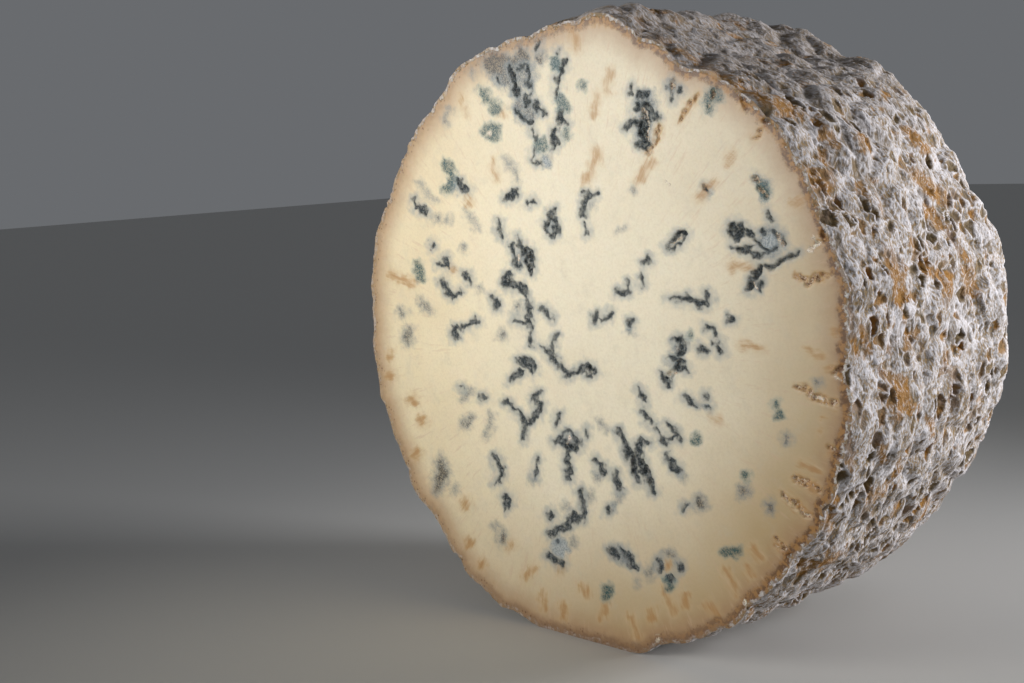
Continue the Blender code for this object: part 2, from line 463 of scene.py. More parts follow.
def pick(piece, domain, chosen):
    """Selects just these vertices or faces of a piece and goes into Edit Mode."""
    for things in (piece.data.vertices, piece.data.edges, piece.data.polygons):
        things.foreach_set("select", np.zeros(len(things), dtype=bool))
    getattr(piece.data, domain).foreach_set("select", chosen)
    bpy.context.view_layer.objects.active = piece
    bpy.ops.object.mode_set(mode="EDIT")


def take_slice(number):
    """Separates one slice off the cheese, which keeps what is left."""
    bpy.ops.object.select_all(action="DESELECT")
    cheese.select_set(True)
    wanted = read(cheese.data.attributes["slice"].data, "value", 1) == number
    bpy.context.tool_settings.mesh_select_mode = (False, False, True)
    pick(cheese, "polygons", wanted)
    bpy.ops.mesh.separate(type="SELECTED")
    bpy.ops.object.mode_set(mode="OBJECT")
    piece = [other for other in bpy.context.selected_objects if other is not cheese][0]
    piece.name = slices[number]
    return piece


parts = [take_slice(number) for number in range(3)] + [cheese]
cheese.name = slices[3]
paste, rind_front, rind_back, rind_end = parts

# Between the plug and the first ring is a joint that runs inwards from the rim, then back, then across.
JOINT_INWARDS = 0.955
JOINT_BACK = 0.002
JOINT_DEPTH = 0.007


def close(piece):
    """Makes a slice solid. Its open edges stay sharp, and each opening gets one flat face."""
    bpy.context.tool_settings.mesh_select_mode = (False, True, False)
    pick(piece, "vertices", np.zeros(len(piece.data.vertices), dtype=bool))
    bpy.ops.mesh.select_non_manifold()
    bpy.ops.mesh.mark_sharp()
    bpy.ops.object.mode_set(mode="OBJECT")
    if piece in (paste, rind_front):
        bpy.context.tool_settings.mesh_select_mode = (True, False, False)
        pick(piece, "vertices", read(piece.data.attributes["on_rim"].data, "value", 1) > 0.5)
        bpy.context.tool_settings.mesh_select_mode = (False, True, False)
        for scale, step_back in ((JOINT_INWARDS, JOINT_BACK), (1, JOINT_DEPTH - JOINT_BACK)):
            bpy.ops.mesh.extrude_edges_move(TRANSFORM_OT_translate={"value": (0, step_back, 0)})
            bpy.ops.transform.resize(value=(scale, 1, scale), center_override=cut_centre)
        bpy.ops.mesh.mark_sharp()
        bpy.ops.mesh.select_non_manifold()
    bpy.ops.object.mode_set(mode="EDIT")
    bpy.ops.mesh.select_all(action="SELECT")
    bpy.ops.mesh.fill_holes(sides=0)
    bpy.ops.mesh.select_all(action="SELECT")
    bpy.ops.mesh.normals_make_consistent(inside=False)
    bpy.ops.object.mode_set(mode="OBJECT")


# Each piece has its own flat map: the cut and the far end as discs, and each ring of wall as four strips one
# above another. Faces that never show go small into a corner.
STRIPS = 4
RING_MAP = 0.205
STRIP_STEP = 0.0505
DISC_MAP = 0.207
MAP_MARGIN = 0.005
HIDDEN_SIZE = 0.10
HIDDEN_SHRINK = 20
HIDDEN_CORNER = 0.07
HIDDEN_BACK = 0.3
BESIDE_STRIPS = 0.9


def lay_out(piece, faces_that_show):
    """Gives a closed slice its flat map, named OFBake."""
    mesh = piece.data
    corners = read(mesh.loops, "vertex_index", 1).astype(int)
    sides = read(mesh.polygons, "loop_total", 1).astype(int)
    face_of = np.repeat(np.arange(len(sides)), sides)
    hidden = face_of >= faces_that_show
    places = read(mesh.vertices, "co", 3)[corners]
    start = read(mesh.attributes["rest"].data, "vector", 3)[corners]
    angle = np.arctan2(start[:, 2], start[:, 0])
    first = np.concatenate([[0], np.cumsum(sides)[:-1]])
    turned = (angle - angle[first][face_of] + math.pi) % (2 * math.pi) - math.pi + angle[first][face_of]
    if piece is paste:
        flat = places[:, [0, 2]] - [0, AXIS_HEIGHT]
        spread = flat / DISC_MAP + 0.5
    elif piece is rind_end:
        from_pole = WAY_ALONG + flat_radius - read(mesh.attributes["along"].data, "value", 1)[corners]
        spread = np.stack([np.cos(angle), np.sin(angle)], axis=1) * from_pole[:, None] / DISC_MAP + 0.5
    else:
        middle = np.add.reduceat(turned, first) / sides
        strip = np.floor((middle[face_of] / (2 * math.pi) + 0.5) * STRIPS).clip(0, STRIPS - 1)
        across = (turned / (2 * math.pi) + 0.5 - strip / STRIPS) * 2 * math.pi * DRUM_RADIUS
        rise = start[:, 1] - start[:, 1].min() + strip * STRIP_STEP
        spread = np.stack([across, rise], axis=1) / RING_MAP + MAP_MARGIN
    nearer = 1 - (places[:, 1] - places[:, 1].min()) * HIDDEN_SHRINK
    back_cap = (sides[face_of] > 4) & (nearer < 0.5)
    tucked = (places[:, [0, 2]] - [0, AXIS_HEIGHT]) / DRUM_RADIUS / 2 * HIDDEN_SIZE
    tucked *= np.where(back_cap, 1, nearer)[:, None]
    is_disc = piece in (paste, rind_end)
    home = HIDDEN_CORNER if is_disc else BESIDE_STRIPS
    lift = np.where(back_cap & (not is_disc), HIDDEN_BACK, HIDDEN_CORNER)
    tucked += np.stack([np.full(len(corners), home), lift], axis=1)
    spread = np.where(hidden[:, None], tucked, spread)
    mesh.uv_layers.new(name="OFBake").data.foreach_set("uv", spread.astype(np.float32).ravel())


for piece in parts:
    bpy.ops.object.select_all(action="DESELECT")
    piece.select_set(True)
    faces_that_show = len(piece.data.polygons)
    close(piece)
    lay_out(piece, faces_that_show)
    bpy.ops.object.shade_smooth()
    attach(piece, "root")
    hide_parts("stilton")


# The rind
# A dry coat of white and grey mould with bare olive and orange rind in its hollows. The colours follow the
# same hollows and ridges that were raised on the mesh, and painted shade darkens the low places and the top.


def shade(red, green, blue):
    """A colour from 0 to 255, as it is read off a picture, for a socket."""
    given = np.array([red, green, blue]) / 255
    linear = np.where(given <= 0.04045, given / 12.92, ((given + 0.055) / 1.055) ** 2.4)
    return (*(float(part) for part in linear), 1.0)


def mix(tree, amount, low, high):
    """The low colour where the amount is 0 and the high one where it is 1."""
    made = add(tree, "ShaderNodeMix", data_type="RGBA", blend_type="MIX")
    for socket, value in ((made.inputs["Factor"], amount), (made.inputs[6], low), (made.inputs[7], high)):
        put(tree, socket, value)
    return made.outputs[2]


def kept(tree, name, output="Fac"):
    """An attribute of the vertices, in a material."""
    return add(tree, "ShaderNodeAttribute", attribute_name=name).outputs[output]


def new_material(name):
    """A material with its nodes and the shader that gets its colours."""
    made = bpy.data.materials.new(name)
    made.use_nodes = True
    return made, made.node_tree, made.node_tree.nodes["Principled BSDF"]


def coat_colour(tree, rest_place, crinkle, patch):
    """White mould on the ridges and grey between them, bare olive to orange rind in hollows and patches;
    painted shade darkens low places and the drum's top.
    """
    marks = coat(tree, rest_place)
    blotch = centred(tree, grain(tree, rest_place, 0.0045, 3.0, 0.6))
    tints = split(tree, grain(tree, rest_place, 0.016, 3.0, 0.6, "Color"))
    rough = centred(tree, crinkle)
    patch = add_part(tree, blotch, 8.0, patch)
    bared = calc(tree, "MAXIMUM", ramp(tree, patch, 1.0, -1.2), ramp(tree, tints[2], 0.56, 0.66, 0.0, 0.9))
    inside = ramp(tree, add_part(tree, rough, 0.55, marks["border"]), 0.0, 0.20)
    share = add_part(tree, blotch, 1.6, marks["deep"])
    share = add_part(tree, bared, 0.55, share)
    share = add_part(tree, marks["dent"], 0.25, share)
    share = times(tree, ramp(tree, share, 0.22, 0.50), inside)
    in_patch = times(tree, bared, ramp(tree, rough, 0.14, -0.02, 0.4, 1.0))
    share = calc(tree, "MAXIMUM", share, in_patch)
    share = times(tree, share, ramp(tree, rough, 0.20, -0.05, 0.45, 1.0))
    orange = calc(tree, "ADD", marks["chance"][1], tints[0])
    orange = calc(tree, "MAXIMUM", ramp(tree, orange, 1.05, 1.2), bared)
    bare = mix(tree, orange, shade(124, 106, 70), shade(176, 126, 52))
    bare = mix(tree, ramp(tree, rough, -0.12, 0.14), mix(tree, 0.5, bare, shade(92, 62, 38)), bare)
    bare = mix(tree, ramp(tree, tints[1], 0.52, 0.62), bare, shade(142, 120, 102))
    bare = mix(tree, ramp(tree, marks["chance"][2], 0.2, 0.9, 0.0, 0.35), bare, shade(152, 136, 116))
    # Painted shade: the bare rind is darker towards the bottom of deep hollows
    floor = times(tree, marks["deep"], ramp(tree, marks["border"], 0.14, 0.34))
    bare = mix(tree, ramp(tree, floor, 0.45, 0.95, 0.0, 0.6), bare, shade(84, 68, 40))
    # Painted shade: the mould is grey between the ridges, and is painted darker still the lower the coat lies
    level = add_part(tree, blotch, 1.5, marks["height"])
    level = add_part(tree, rough, 1.2, level)
    mould = mix(tree, ramp(tree, level, -0.55, 0.45), shade(112, 101, 88), shade(214, 210, 212))
    crest = times(tree, ramp(tree, marks["border"], 0.09, 0.02, 0.0, 0.3), marks["netted"])
    mould = mix(tree, crest, mould, shade(234, 232, 238))
    tan = times(tree, ramp(tree, rough, 0.04, -0.14), ramp(tree, tints[1], 0.36, 0.54, 0.2, 0.75))
    mould = mix(tree, tan, mould, shade(154, 126, 80))
    # Painted shade: the mould is darker over the top of the drum, where less light falls
    shaded_top = add_part(tree, blotch, 0.06, split(tree, rest_place)[2])
    mould = mix(tree, ramp(tree, shaded_top, 0.055, 0.088, 0.0, 0.5), mould, shade(124, 114, 105))
    return mix(tree, share, mould, bare)


rind, tree, surface = new_material("rind")
rest_place = kept(tree, "rest", "Vector")
crinkle = grain(tree, vector(tree, "MULTIPLY", rest_place, (1, 1.3, 1)), 0.0011, 3.0, 0.6)
put(tree, surface.inputs["Base Color"], coat_colour(tree, rest_place, crinkle, kept(tree, "patch")))
surface.inputs["Roughness"].default_value = 0.92
surface.inputs["Specular IOR Level"].default_value = 0.25
bump = add(tree, "ShaderNodeBump", {"Height": crinkle, "Strength": 1.0, "Distance": 0.0005})
put(tree, surface.inputs["Normal"], bump.outputs[0])
for piece in (rind_front, rind_back, rind_end):
    piece.data.materials.clear()
    piece.data.materials.append(rind)


# The paste
# Moist cream-coloured curd with blue mould in the cracks and along the paths of the piercing needles, which
# all run in towards the drum's axis, and a brown line inside the rind. The marks are traced from the
# photograph as strokes, then roughened by noise. Cells are finer where dark mould is, and cracks sink in.

# Strokes are chains of (pixel across, pixel down, half width in pixels).


def dab(across, down, half):
    """A mark about as tall as it is wide."""
    return (across, down, half), (across, down + 2, half)


# Veins and needle paths that also stand open
OPEN_VEINS = (
    ((753, 240, 1.5), (761, 247, 2), (767, 252, 1.5), (776, 248, 1.5)),
    ((776, 230, 2), (780, 238, 2), (785, 244, 1.5)),
)
OPEN_PATHS = (
    ((660, 125, 1.5), (657, 140, 2), (648, 151, 2)),
    ((796, 275, 2), (808, 281, 4), (822, 278, 4.5), (831, 273, 2)),
    ((773, 537, 2), (786, 552, 4), (792, 561, 3)),
    ((798, 386, 2), (811, 394, 3.5), (823, 400, 4), (836, 405, 4)),
    ((830, 451, 4), (842, 455, 4), (846, 461, 4)),
    ((782, 492, 2), (795, 504, 4), (806, 517, 4)),
)

MOULD = (
    ((500, 83, 1.5), (498, 80, 1.5)), ((519, 68, 1.5), (524, 66, 1.5)), ((529, 66, 2), (529, 88, 2)),
    ((508, 66, 1.5), (514, 80, 2.5), (517, 96, 2)),
    ((515, 109, 2), (520, 115, 2), (526, 119, 2), (531, 123, 2)), ((527, 98, 3), (527, 106, 2)),
    ((536, 100, 2.5), (537, 108, 2), (543, 114, 2)), ((532, 130, 1), (537, 139, 1)),
    ((535, 151, 1.5), (531, 159, 1.5), (538, 164, 1.5)), ((459, 181, 3), (462, 186, 3), (467, 191, 3)),
    ((506, 198, 3), (514, 193, 4)), ((528, 204, 2), (533, 201, 2.5)), ((538, 42, 1.5), (537, 48, 2)),
    ((558, 52, 2), (559, 53, 2)), ((565, 59, 2.5), (561, 70, 3), (557, 78, 2), (557, 96, 1.5)),
    ((561, 111, 2), (561, 122, 3), (565, 125, 2)), ((555, 130, 3.5), (556, 141, 3.5), (553, 149, 2)),
    ((632, 83, 1), (631, 91, 2.5)), ((640, 95, 3), (647, 95, 3)), ((637, 103, 3), (636, 110, 3)),
    ((645, 105, 4), (652, 112, 3.5), (657, 117, 2.5)),
    ((647, 118, 4), (643, 124, 3.5), (630, 123, 3), (626, 128, 2.5)),
    ((643, 124, 4), (643, 136, 5), (645, 145, 4), (638, 146, 2.5)), ((667, 85, 1.5), (667, 88, 1.5)),
    ((672, 100, 1.5), (671, 95, 1.5)), ((679, 90, 2), (680, 93, 2)), ((704, 187, 2), (706, 193, 2)),
    ((414, 198, 1.2), (418, 209, 3), (427, 212, 2)),
    ((555, 208, 1.5), (550, 214, 2.5), (547, 224, 2.5), (549, 234, 2), (552, 238, 2), (556, 232, 2.5)),
    ((556, 232, 2.5), (556, 222, 2.5), (551, 216, 2)), ((499, 221, 2), (500, 230, 2), (502, 236, 3)),
    ((517, 236, 1), (522, 246, 3), (528, 254, 6), (530, 264, 6), (531, 272, 3)),
    ((512, 246, 3), (514, 256, 2), (516, 264, 2.5), (519, 266, 2)),
    ((508, 275, 4), (504, 282, 3.5), (512, 285, 5), (520, 287, 3.5), (526, 293, 2)),
    ((528, 296, 1.5), (529, 310, 2), (529, 322, 2), (531, 335, 1.2), (531, 344, 2.5)),
    ((514, 318, 2.5), (520, 322, 2), (528, 322, 2.5)), ((433, 243, 2), (433, 247, 2.5)),
    ((445, 258, 2), (448, 266, 3), (438, 264, 2)),
    ((442, 281, 2.5), (446, 289, 2.5), (454, 296, 3), (461, 291, 1.5)), ((464, 273, 3), (469, 280, 2.5)),
    ((492, 297, 1.5), (498, 302, 3), (496, 307, 2.5)), ((542, 309, 2.5), (552, 318, 2.5)),
    ((456, 328, 3.5), (455, 336, 3.5)), ((461, 327, 2.5), (470, 325, 2.5), (474, 321, 3), (479, 323, 2)),
    ((586, 195, 3), (597, 195, 2)), ((585, 200, 3), (583, 211, 2.5), (583, 216, 2)),
    ((586, 224, 1.2), (586, 235, 1.2)),
    ((666, 248, 1.5), (672, 241, 2), (679, 234, 2.5), (685, 233, 2.5),
     (685, 237, 2), (678, 245, 1.2), (669, 250, 1.5)),
    ((649, 256, 1.2), (648, 261, 3.5), (644, 263, 2.5)), ((642, 272, 1.5), (641, 279, 2), (643, 286, 1.2)),
    ((618, 292, 3), (628, 291, 2.5), (628, 282, 1.2)), ((597, 313, 2.5), (594, 322, 2.5)),
    ((597, 318, 2), (608, 318, 2)), ((609, 312, 2), (609, 318, 2)), ((631, 321, 2), (631, 325, 2)),
    ((669, 299, 1), (680, 299, 2), (689, 299, 3), (698, 303, 3.5),
     (707, 304, 3), (709, 298, 2.5), (707, 292, 2)),
    ((688, 293, 1.5), (690, 298, 1.5)), ((706, 327, 2.5), (714, 330, 2.5), (716, 335, 2)),
    ((713, 341, 1.8), (713, 342, 1.8)), ((701, 348, 3), (706, 352, 2.5)), ((719, 344, 3), (721, 352, 3.5)),
    ((675, 341, 3), (680, 338, 3), (683, 345, 3.5), (680, 354, 3)), ((731, 318, 3), (731, 320, 3.5)),
    ((556, 336, 1.8), (553, 344, 1.5), (551, 352, 2)),
    ((542, 347, 1.5), (551, 354, 3), (560, 366, 2.5), (568, 376, 3),
     (576, 372, 3), (582, 369, 3.5), (591, 368, 4)),
    ((591, 368, 4), (594, 372, 3)), ((587, 377, 2), (589, 377, 2.5)),
    ((733, 224, 3.5), (730, 231, 3.5), (735, 237, 4), (741, 234, 3.5), (742, 227, 3.5), (737, 223, 3)),
    ((736, 229, 4), (737, 232, 4)), ((767, 209, 1.5), (769, 216, 2.5), (774, 220, 1.5)),
    ((749, 232, 3), (751, 234, 3.5)), ((732, 246, 1.5), (743, 250, 2.5), (753, 247, 2)),
    ((747, 251, 2), (753, 256, 2.5), (761, 256, 2.5)),
    ((762, 230, 2), (764, 232, 2.5)), ((767, 267, 2), (781, 261, 2.2), (793, 255, 2), (800, 252, 1.5)),
    ((761, 266, 3), (755, 274, 3.5), (748, 290, 3)), ((761, 282, 2.5), (758, 291, 2)),
    ((520, 360, 3.5), (527, 363, 4), (532, 367, 3.5), (533, 372, 2.5)),
    ((522, 370, 2.5), (515, 376, 3), (510, 381, 1.8)), ((461, 387, 1.5), (462, 388, 1.5)),
    dab(483, 396, 2.5), ((505, 401, 2.5), (516, 410, 2.5), (524, 418, 2.5), (527, 424, 3)),
    ((540, 391, 2), (534, 396, 3), (535, 402, 2), (540, 406, 3.5), (537, 415, 3), (529, 422, 3.5)),
    ((525, 427, 2), (523, 440, 2.5)), ((494, 456, 2.5), (500, 466, 3.5), (502, 474, 3), (497, 483, 2.5)),
    ((538, 458, 1.8), (535, 476, 2.5)), ((507, 498, 3.5), (507, 508, 2)),
    ((670, 358, 2.5), (677, 358, 3), (682, 363, 3.5), (676, 369, 3), (687, 370, 2.5)),
    ((662, 373, 2), (666, 380, 4), (668, 385, 3)), ((684, 398, 2), (690, 401, 3), (695, 404, 2)),
    dab(706, 395, 1.8), ((708, 406, 1.8), (709, 407, 1.8)),
    ((637, 388, 1.8), (641, 393, 2.5), (644, 402, 2.5)), ((642, 411, 2.5), (647, 418, 3), (651, 424, 2)),
    ((657, 429, 1.5), (662, 438, 1.8), (667, 444, 3)),
    ((666, 423, 1.5), (673, 429, 2.5), (676, 435, 2.5), (670, 438, 2)), ((676, 435, 2), (680, 441, 1.8)),
    ((559, 415, 3), (557, 425, 2)),
    ((556, 442, 3), (562, 442, 4), (568, 447, 4), (576, 449, 3),
     (579, 443, 3), (576, 436, 2.5), (568, 431, 2)),
    ((568, 431, 2), (561, 435, 2), (556, 442, 2)), ((568, 454, 3), (569, 467, 3), (569, 478, 2.5)),
    ((587, 430, 1.5), (587, 436, 1.5)),
    ((618, 430, 2.5), (622, 440, 2.5), (629, 452, 4), (635, 466, 4), (638, 482, 2.5)),
    ((649, 442, 3), (642, 440, 2.5), (637, 450, 4), (641, 463, 4), (647, 476, 3.5), (653, 491, 3)),
    ((596, 459, 2.5), (600, 467, 4), (606, 473, 2.5)), ((614, 470, 1.5), (617, 480, 3), (620, 490, 2.5)),
    ((610, 510, 2.5), (608, 511, 3)), ((666, 455, 2), (672, 464, 3.5), (679, 472, 2)),
    ((581, 491, 3), (582, 499, 2.5), (584, 510, 3), (583, 519, 2.5)), ((686, 506, 2), (682, 511, 1.2)),
    ((551, 514, 3.5), (551, 516, 4)), ((575, 515, 3.5), (567, 527, 3.5), (558, 530, 3), (550, 534, 3)),
    ((549, 555, 3), (555, 561, 3), (563, 565, 2)), dab(557, 539, 1.5), ((610, 550, 3), (617, 557, 2.5)),
    ((622, 548, 2), (630, 559, 3.5), (635, 567, 3.5)), ((658, 560, 3), (661, 570, 3)),
    ((680, 565, 2.5), (681, 569, 2)), ((672, 575, 2.5), (671, 580, 2)), ((506, 496, 2.5), (508, 506, 2)),
    ((574, 522, 3), (580, 515, 3)),
) + OPEN_VEINS

# Blue-green growth, softer than the dark
TEAL = (
    ((480, 92, 2), (485, 93, 2.5), (488, 100, 2)), dab(496, 106, 4),
    ((484, 131, 1.5), (489, 127, 2), (495, 129, 3), (496, 134, 3), (491, 138, 2)), dab(541, 144, 4),
    ((555, 60, 3), (555, 66, 3)), ((561, 100, 3), (561, 104, 3)), dab(567, 134, 1.5),
    ((566, 108, 1), (568, 110, 1)), dab(583, 84, 1.5),
    ((446, 164, 2.5), (452, 171, 2.5), (452, 180, 2.5), (447, 189, 2.5)),
    ((715, 90, 4), (709, 98, 4), (708, 105, 3.5), (708, 111, 2)), dab(719, 96, 2.5),
    ((417, 264, 2), (421, 278, 2)), dab(691, 335, 1.5), dab(776, 403, 2.5), dab(780, 415, 2.5),
    dab(745, 475, 2.5), dab(696, 438, 2.5), ((670, 581, 2.5), (670, 586, 2.5)),
    ((725, 552, 2.5), (737, 551, 2.5)), ((607, 590, 3.5), (607, 594, 3.5)), ((762, 185, 4), (764, 193, 4)),
)

# Grey mottled or soft blue-grey growth, in and under the surface
HAZE = (
    ((492, 58, 8), (506, 64, 12), (514, 78, 10), (518, 97, 6)), ((488, 62, 8), (498, 70, 11), (504, 82, 8)),
    ((516, 62, 9), (528, 72, 9), (526, 84, 6)), ((522, 54, 8), (528, 66, 7), (529, 88, 5)),
    ((524, 106, 13), (527, 112, 12)), ((546, 158, 4), (546, 162, 4)), ((540, 56, 5), (540, 60, 5)),
    ((448, 110, 2), (446, 122, 2)), ((472, 72, 3), (473, 74, 3)), ((454, 184, 4), (454, 188, 4)),
    ((507, 159, 2.5), (515, 171, 2.5), (517, 178, 2.5)), ((645, 100, 10), (647, 113, 10), (643, 138, 8)),
    ((672, 80, 4), (672, 90, 4)), dab(633, 188, 2), ((757, 178, 5), (766, 183, 5), (764, 195, 5)),
    ((420, 184, 1.5), (426, 194, 1.5), (435, 200, 1.5)), dab(437, 219, 3), dab(447, 219, 3),
    ((465, 209, 1.2), (473, 221, 1.2), (478, 229, 1.2)), ((551, 224, 4), (551, 228, 4)),
    ((519, 257, 5), (520, 260, 5)), dab(518, 305, 4), dab(463, 247, 2.5), dab(480, 288, 2),
    ((421, 301, 3), (430, 311, 3)), dab(402, 311, 4), dab(502, 335, 4), ((408, 331, 5), (408, 341, 5)),
    dab(592, 204, 2), ((619, 230, 1), (626, 227, 1)), ((630, 328, 2.5), (630, 332, 2.5)),
    ((677, 348, 5), (677, 353, 5)), ((772, 238, 12), (770, 245, 12)), ((755, 284, 5), (755, 287, 4)),
    ((675, 364, 5), (677, 366, 5)), ((698, 405, 2), (705, 408, 2)), ((463, 399, 3), (470, 392, 3)),
    ((466, 424, 5), (472, 418, 3)), ((491, 415, 2.5), (490, 425, 3), (486, 437, 2)),
    ((535, 478, 3), (534, 482, 2)), ((496, 525, 2.5), (496, 528, 2.5)), ((502, 536, 5), (502, 542, 4)),
    ((441, 461, 5), (443, 472, 7), (437, 490, 5)), dab(455, 489, 3), ((567, 440, 6), (570, 441, 6)),
    ((599, 421, 1.5), (606, 430, 1.5)), ((598, 476, 3), (598, 479, 3)), ((621, 496, 2.5), (613, 505, 3)),
    ((679, 472, 1.5), (685, 479, 1.5)), ((590, 494, 3), (590, 497, 3)), dab(566, 505, 2.5),
    ((700, 502, 7), (700, 505, 7)), ((573, 541, 3), (573, 545, 3)), ((619, 552, 4), (624, 560, 4)),
    ((652, 567, 3), (648, 576, 3)), ((668, 553, 4), (674, 560, 4)), dab(637, 583, 2),
    ((817, 383, 4), (817, 386, 4)), ((787, 438, 4), (787, 441, 4)), ((743, 490, 5), (743, 494, 5)),
    ((771, 505, 5), (771, 508, 5)),
)

# Brown and orange needle paths
STREAKS = (
    ((502, 110, 1.2), (503, 114, 1.2)), ((461, 98, 1), (466, 114, 1)), ((492, 158, 1), (496, 179, 1)),
    ((572, 29, 3), (576, 46, 3)), ((590, 20, 3), (602, 21, 4), (615, 24, 3)),
    ((610, 71, 2.5), (607, 92, 2.5)), ((597, 95, 2), (594, 116, 2)),
    ((595, 149, 3), (597, 159, 3), (592, 169, 3), (587, 181, 3)),
    ((651, 161, 3), (638, 181, 3)),
    ((697, 96, 3), (688, 107, 3), (680, 120, 3)), ((700, 198, 3), (705, 190, 3), (715, 183, 1.5)),
    ((741, 90, 5), (745, 105, 5)), ((770, 116, 2.5), (756, 137, 2.5)), ((733, 153, 3), (728, 163, 3)),
    ((793, 204, 3), (802, 201, 3)), ((825, 232, 2), (818, 245, 2)),
    dab(468, 201, 2), dab(451, 268, 1.5),
    ((391, 275, 3), (412, 283, 3)), ((738, 266, 2), (751, 267, 2)), dab(733, 264, 4), dab(390, 355, 3),
    dab(390, 375, 3.5), dab(412, 399, 5), dab(422, 421, 4), dab(417, 452, 4), dab(465, 503, 4),
    dab(470, 542, 4), dab(481, 563, 4), ((532, 569, 3), (525, 578, 3)), ((711, 416, 1.5), (720, 422, 2)),
    ((543, 594, 3), (543, 607, 3)), ((563, 605, 3.5), (563, 620, 3.5)), ((581, 585, 3), (587, 596, 3)),
    ((606, 605, 3.5), (603, 616, 3.5)), ((631, 617, 3), (635, 629, 3), (637, 637, 3)),
    ((652, 610, 3), (653, 620, 3)), ((663, 590, 2.5), (671, 604, 2.5), (675, 611, 2.5)),
    ((685, 597, 2.5), (686, 606, 2.5)), ((708, 605, 3), (717, 616, 3), (722, 627, 3)),
    ((725, 569, 2.5), (732, 585, 3), (736, 596, 2.5)), ((746, 564, 3), (751, 576, 3)),
    ((753, 547, 3), (760, 557, 3)),
    ((741, 345, 2), (753, 347, 2.5), (764, 350, 1.5)), ((807, 350, 3), (821, 357, 3)),
    ((836, 331, 4), (846, 336, 4)), ((827, 371, 3), (842, 366, 3), (847, 376, 3)),
    ((801, 461, 2.5), (818, 471, 2.5)),
    ((797, 477, 4), (803, 483, 4), (811, 486, 4), (818, 491, 4)),
    dab(561, 568, 2), dab(668, 564, 2), dab(511, 544, 3),
    dab(821, 419, 1), dab(820, 431, 1),
) + OPEN_PATHS

# Cracks that stand open, with pits along them
CRACKS = (
    ((666, 249, 2), (672, 243, 3), (679, 238, 4), (684, 234, 3)), ((733, 228, 5), (739, 231, 5)),
    ((734, 247, 1.5), (743, 251, 3), (751, 250, 2)),
    ((767, 268, 2), (781, 262, 2.5), (793, 256, 2), (800, 252, 1.5)),
    ((761, 266, 3), (755, 274, 3), (748, 290, 3)),
    ((770, 116, 2.5), (756, 137, 2)), ((741, 90, 4), (745, 105, 4)),
    ((697, 96, 2), (688, 107, 2.5), (680, 120, 2)),
    ((825, 232, 2.5), (818, 245, 2)),
    ((797, 477, 3), (803, 483, 4), (811, 486, 4), (818, 491, 3)),
    ((645, 105, 3), (643, 124, 4), (643, 140, 4)),
    ((524, 248, 2), (529, 262, 4), (531, 270, 2)), ((508, 283, 3), (516, 286, 3)),
    ((549, 212, 2), (547, 226, 2)), ((678, 342, 3), (681, 352, 3)), ((591, 368, 3), (589, 376, 2)),
    ((680, 364, 2.5), (666, 380, 3)), ((629, 452, 2.5), (636, 470, 2.5)),
    ((640, 455, 2.5), (650, 485, 2.5)), ((567, 446, 3), (575, 446, 2)), ((672, 82, 2), (671, 98, 2)),
    ((715, 90, 2), (708, 105, 2)), ((512, 70, 2), (516, 90, 2)), ((836, 371, 4), (845, 370, 3)),
    ((757, 178, 3), (764, 194, 3)),
) + OPEN_VEINS + OPEN_PATHS

# Loose pale crumbs and the pale insides of dark rings, and one painted highlight, a glint near the rim at (744,
# 600)
CRUMBS_AND_GLINT = (
    ((778, 234, 1.8), (783, 244, 1.8)), ((811, 235, 2), (818, 244, 2), (810, 249, 3)),
    ((811, 394, 1.5), (823, 400, 2)), ((836, 376, 2), (841, 380, 2)), ((805, 515, 2.5), (806, 517, 2)),
    ((744, 600, 2.5), (744, 603, 2.5)), ((657, 634, 1), (658, 640, 1.5)),
    ((519, 256, 1.5), (519, 260, 1.5)), ((489, 133, 2), (491, 134, 2)), ((754, 284, 2.5), (755, 287, 2.5)),
    ((568, 439, 2.5), (572, 440, 2)), ((674, 243, 1.2), (680, 238, 1.2)),
    ((643, 108, 1.5), (648, 126, 2), (646, 138, 1.5)), ((667, 183, 0.8), (668, 186, 0.8)),
)

# Pale blue growth
PALE_BLUE = (
    ((559, 543, 8), (562, 551, 8)), ((545, 157, 4), (546, 163, 4)), ((554, 62, 4), (556, 68, 4)),
    ((709, 190, 4), (709, 194, 4)), ((772, 240, 7), (768, 246, 7)),
)


def on_front(piece):
    """Which vertices of the paste show on the cut."""
    return read(piece.data.vertices, "co", 3)[:, 1] < cut_plane + SAME_PLACE


# Finer cells where the dark mould is
FINE_MARGIN = 0.1
seen = pixels_of(read(paste.data.vertices, "co", 3))
near_mould = (away_from(MOULD + CRACKS, seen) < FINE_MARGIN) & on_front(paste)
bpy.ops.object.select_all(action="DESELECT")
paste.select_set(True)
bpy.context.tool_settings.mesh_select_mode = (True, False, False)
pick(paste, "vertices", near_mould)
bpy.ops.mesh.select_more()
bpy.ops.mesh.subdivide(number_cuts=1)
bpy.ops.object.mode_set(mode="OBJECT")

# No mark keeps the even edge of its stroke
noise.seed_set(5)
WOBBLES = ((0.0035, 1.6), (0.0016, 1.4))
front = on_front(paste)
places = read(paste.data.vertices, "co", 3)
seen = pixels_of(places)
for size, reach in WOBBLES:
    pushes = np.array([noise.noise_vector(Vector(spot) / size) for spot in places])
    seen += pushes[:, [0, 2]] * reach * 2
traced = {"mould": MOULD, "teal": TEAL, "haze": HAZE, "streak": STREAKS, "crack": CRACKS,
          "crumb_and_glint": CRUMBS_AND_GLINT, "pale_blue": PALE_BLUE}
for name, strokes in traced.items():
    store(paste.data, name, np.where(front, away_from(strokes, seen), MARK_REACH))


PIT_DEPTH = 1.0
MOULD_DEPTH = 0.3


